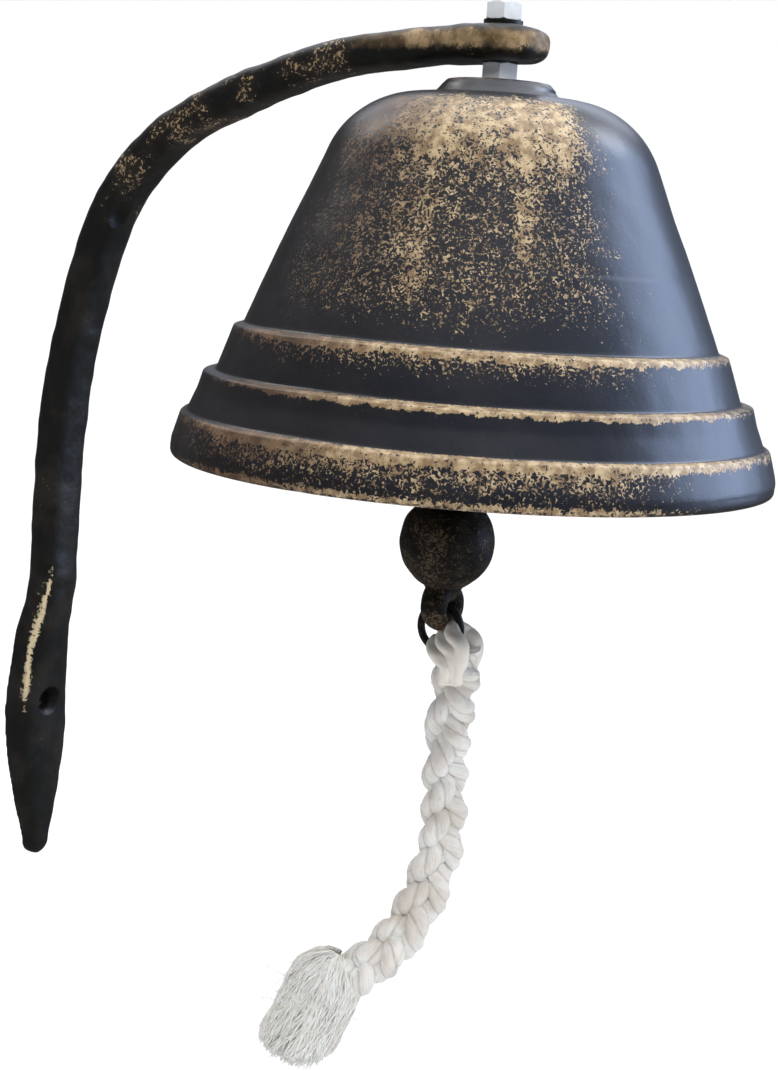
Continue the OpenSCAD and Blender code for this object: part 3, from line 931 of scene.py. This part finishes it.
def make_tassel():
    """The frayed end: yarns that fold over a round head and hang to a slanting cut."""
    r = np.random.default_rng(8)
    axis = TASSEL_TO - TASSEL_FROM
    length = np.linalg.norm(axis)
    axis = axis / length
    u = np.cross(axis, AHEAD)
    u /= np.linalg.norm(u)
    v = np.cross(axis, u)
    top = TASSEL_FROM + axis * 4.5
    length = length - 4.5
    t = np.linspace(0, 2 * math.pi, 72, endpoint=False)
    rows = []
    for s in np.linspace(0.02, 1, 46):
        if s < 0.4:
            a = s / 0.4 * math.pi / 2
            out, down = TASSEL_HEAD_R * math.sin(a), -TASSEL_HEAD_R * math.cos(a)
        else:
            out, down = TASSEL_HEAD_R - 2.2 * (s - 0.4), (s - 0.4) / 0.6 * (length - 6)
        rows.append(top + axis * down + (np.cos(t)[:, None] * u + np.sin(t)[:, None] * v) * out)
    core = np.array(rows).reshape(-1, 3)
    lump = ripple(core * [1, 1, 0.4], 4, 41)
    middle = top + np.outer((core - top) @ axis, axis)
    core = middle + (core - middle) * (1 + 0.05 * lump)[:, None]
    faces = grid_faces(len(rows), len(t))
    faces += [list(range(len(t)))[::-1], [(len(rows) - 1) * len(t) + k for k in range(len(t))]]
    phase = np.tile(t / (2 * math.pi) * 12, len(rows))
    down = np.repeat(np.linspace(0, 3, len(rows)), len(t))
    core = new_mesh("tassel_core", core, faces, uvs=np.stack([phase, down], 1))
    core.data.materials.append(bpy.data.materials["cotton"])
    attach(core, "pull_rope")

    lines, sizes = [], []
    clumps = r.uniform(0, 2 * math.pi, 70)
    for n in range(2600):
        depth = math.sqrt(r.uniform(0.30, 1)) if n % 4 else math.sqrt(r.uniform(0.0, 1))
        a0 = r.choice(clumps) + r.normal() * 0.055
        reach = YARN_REACH * depth
        first = r.uniform(0.10, 0.9)
        cut_at = length * (0.93 + 0.16 * math.cos(a0 - 2.2)) + r.normal() * 0.8
        s = np.linspace(0, 1, 15)
        head = (math.pi / 2) * reach * (1 - first)
        total = head + cut_at
        at = s * total
        over = at < head
        angle = first * math.pi / 2 + np.where(over, at, head) / max(reach, 0.5)
        out = np.where(over, reach * np.sin(angle), reach + 0.5 * np.sin((at - head) / 7 + a0 * 3))
        drop = np.where(over, -reach * np.cos(angle), at - head)
        a = (a0 + 0.10 * np.sin(at / 6.0 + n) + 0.05 * np.sin(at / 2.3 + 1.7 * n)
             + 0.18 * np.sin(at / 14 + a0 * 2))
        out = out + 0.22 * np.sin(at / 1.9 + 0.7 * n)
        out = np.minimum(out, 12.8)
        line = top + np.outer(drop, axis) + out[:, None] * (np.cos(a)[:, None] * u + np.sin(a)[:, None] * v)
        lines.append(line)
        sizes.append(r.uniform(0.13, 0.34) if n % 5 else r.uniform(0.06, 0.1))
    for n in range(220):
        a = r.uniform(0, 2 * math.pi)
        b = r.uniform(-0.5, 1.0)
        out = math.sqrt(1 - min(b, 0) ** 2) * 12.0
        outward = math.cos(a) * u + math.sin(a) * v
        start = top + axis * (b * 18 if b > 0 else b * 11.4) + out * outward
        drift = r.normal(size=3) * 0.9 + axis * r.uniform(-0.3, 1.2) + 0.45 * outward
        s = np.linspace(0, 1, 15)[:, None]
        lines.append(start + drift * s * r.uniform(1.5, 4) + r.normal(size=3) * 0.8 * s**2)
        sizes.append(r.uniform(0.04, 0.09))
    verts, faces = thin_tubes(np.array(lines), sizes, 4)
    low, high = np.array(CAD_LOW) / MM, np.array(CAD_HIGH) / MM
    verts = np.clip(verts, low - 3, high + 3)
    brush = new_mesh("tassel_yarns", verts, faces)
    brush.data.materials.append(bpy.data.materials["cotton_thread"])
    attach(brush, "pull_rope")
    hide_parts("rope_tassel")
    return core, brush


def cotton_paint():
    p = Paint("cotton")
    uv = p.node("ShaderNodeUVMap", uv_map="along")
    fibre = p.noise(1.0, 4.0, 0.62, 0.35, vector=p.scaled((46, 5.0, 1), uv.outputs[0]))
    soft = p.noise(260, 4.0, 0.6)
    shade = p.ramp(p.noise(95, 3.0, 0.55), 0.35, 0.68)
    colour = p.mix(p.mul(shade, 0.75), (0.86, 0.845, 0.815), (0.64, 0.585, 0.52))
    colour = p.mix(p.ramp(fibre, 0.30, 0.52, 0.42, 0.0), colour, (0.47, 0.41, 0.35))
    # painted shade: dark lines in the valleys between the plies, where the crevices of the cord fall in shade
    round_cord = p.split(uv.outputs[0])[0]
    ply_valley_shade = p.math("ABSOLUTE", p.math("COSINE", p.mul(round_cord, PLIES * math.pi)))
    colour = p.mix(p.ramp(ply_valley_shade, 0.0, 0.36, 0.45, 0.0), colour, (0.40, 0.34, 0.28))
    bumps = p.bump(fibre, 0.55, 0.00045, p.bump(soft, 0.35, 0.0006))
    p.set(Base_Color=colour, Roughness=0.88, Normal=bumps)
    p.set(Sheen_Weight=0.25, Sheen_Roughness=0.5, Subsurface_Weight=0.12, Subsurface_Scale=0.002,
          Specular_IOR_Level=0.2)

    q = Paint("cotton_thread")
    tint = q.ramp(q.noise(420, 2.0, 0.5), 0.35, 0.65)
    q.set(Base_Color=q.mix(tint, (0.88, 0.865, 0.835), (0.80, 0.77, 0.72)), Roughness=0.9)
    q.set(Sheen_Weight=0.2, Subsurface_Weight=0.1, Subsurface_Scale=0.002, Specular_IOR_Level=0.2)
    return p.material


rope, rope_end, rope_strands = make_rope()
fold = make_fold()
fuzz = make_fuzz(rope_strands)
tassel_core, tassel = make_tassel()


# ---------------------------------------------------------------- studio
def point_of(right, ahead, up, centre=(0.150, 0, 0.13)):
    return Vector(centre) + RIGHT * right + AHEAD * ahead + Vector((0, 0, up))


def softbox(name, at, width, height, power, colour, aim=(0.16, 0, 0.14)):
    data = bpy.data.lights.new(name, "AREA")
    data.shape, data.size, data.size_y = "RECTANGLE", width, height
    data.energy, data.color = power, colour
    light = bpy.data.objects.new(name, data)
    bpy.context.scene.collection.objects.link(light)
    light.location = at
    light.rotation_mode = "QUATERNION"
    light.rotation_quaternion = (Vector(aim) - Vector(at)).to_track_quat("-Z", "Y")
    return light


def make_studio():
    # a pale floor that curves up into a backdrop
    curve = [(1.5 + 0.9 * math.sin(a), 0.9 - 0.9 * math.cos(a)) for a in np.linspace(0.1, math.pi / 2, 14)]
    section = [(-2.6, 0.0), (1.5, 0.0), *curve, (2.4, 3.2)]
    floor_z = -0.16
    verts = []
    for s in (-3.5, 3.5):
        for ahead, up in section:
            verts.append(np.array(point_of(s, ahead, 0, (0.15, 0, floor_z + up))) / MM)
    n = len(section)
    faces = [[k, k + 1, n + k + 1, n + k] for k in range(n - 1)]
    floor = new_mesh("floor", verts, faces)
    p = Paint("floor_paint")
    p.set(Base_Color=(0.88, 0.88, 0.88), Roughness=0.95)
    floor.data.materials.append(p.material)
    floor.visible_glossy = False

    window = softbox("right_window", point_of(0.98, 0.24, 0.42), 0.8, 1.1, 14.0, (0.52, 0.67, 1.0))
    window.visible_diffuse = False
    fill = softbox("right_fill", point_of(1.0, -0.3, 0.5), 0.8, 0.8, 5.0, (0.82, 0.90, 1.0))
    fill.visible_glossy = False
    key = softbox("key", point_of(0.05, -1.1, 1.0), 0.7, 0.5, 12.0, (1.0, 0.97, 0.92))
    key.visible_glossy = False
    softbox("top", point_of(0.15, 0.25, 1.5), 1.6, 1.2, 12.0, (0.90, 0.94, 1.0))
    sheen = softbox("crown_sheen", point_of(0.0, 1.3, 0.85), 1.6, 0.4, 5.0, (0.78, 0.84, 1.0))
    sheen.visible_diffuse = sheen.visible_camera = False
    for k in (-1, 1):
        softbox(f"backdrop_light_{k + 1}", point_of(1.3 * k, 0.9, 1.4), 0.8, 0.8, 16.0, (1, 1, 1),
                aim=point_of(0.3 * k, 2.3, 0.1))

    world = bpy.data.worlds.new("world")
    bpy.context.scene.world = world
    world.use_nodes = True
    tree = world.node_tree
    ground = next(n for n in tree.nodes if n.type == "BACKGROUND")
    place = tree.nodes.new("ShaderNodeTexCoord")
    parts = tree.nodes.new("ShaderNodeSeparateXYZ")
    ramp = tree.nodes.new("ShaderNodeValToRGB")
    tree.links.new(place.outputs["Generated"], parts.inputs[0])
    lift = tree.nodes.new("ShaderNodeMapRange")
    lift.inputs["From Min"].default_value, lift.inputs["From Max"].default_value = -1, 1
    tree.links.new(parts.outputs[2], lift.inputs["Value"])
    tree.links.new(lift.outputs["Result"], ramp.inputs[0])
    for place_on, colour in ((0.0, (0.24, 0.22, 0.20)), (0.46, (0.09, 0.09, 0.09)),
                             (0.75, (0.11, 0.125, 0.16)), (1.0, (0.34, 0.39, 0.52))):
        stop = ramp.color_ramp.elements.new(place_on)
        stop.color = (*colour, 1)
    tree.links.new(ramp.outputs[0], ground.inputs[0])
    ground.inputs[1].default_value = 1.0
    bpy.context.scene.view_settings.view_transform = "Standard"
    bpy.context.scene.view_settings.look = "None"


make_studio()
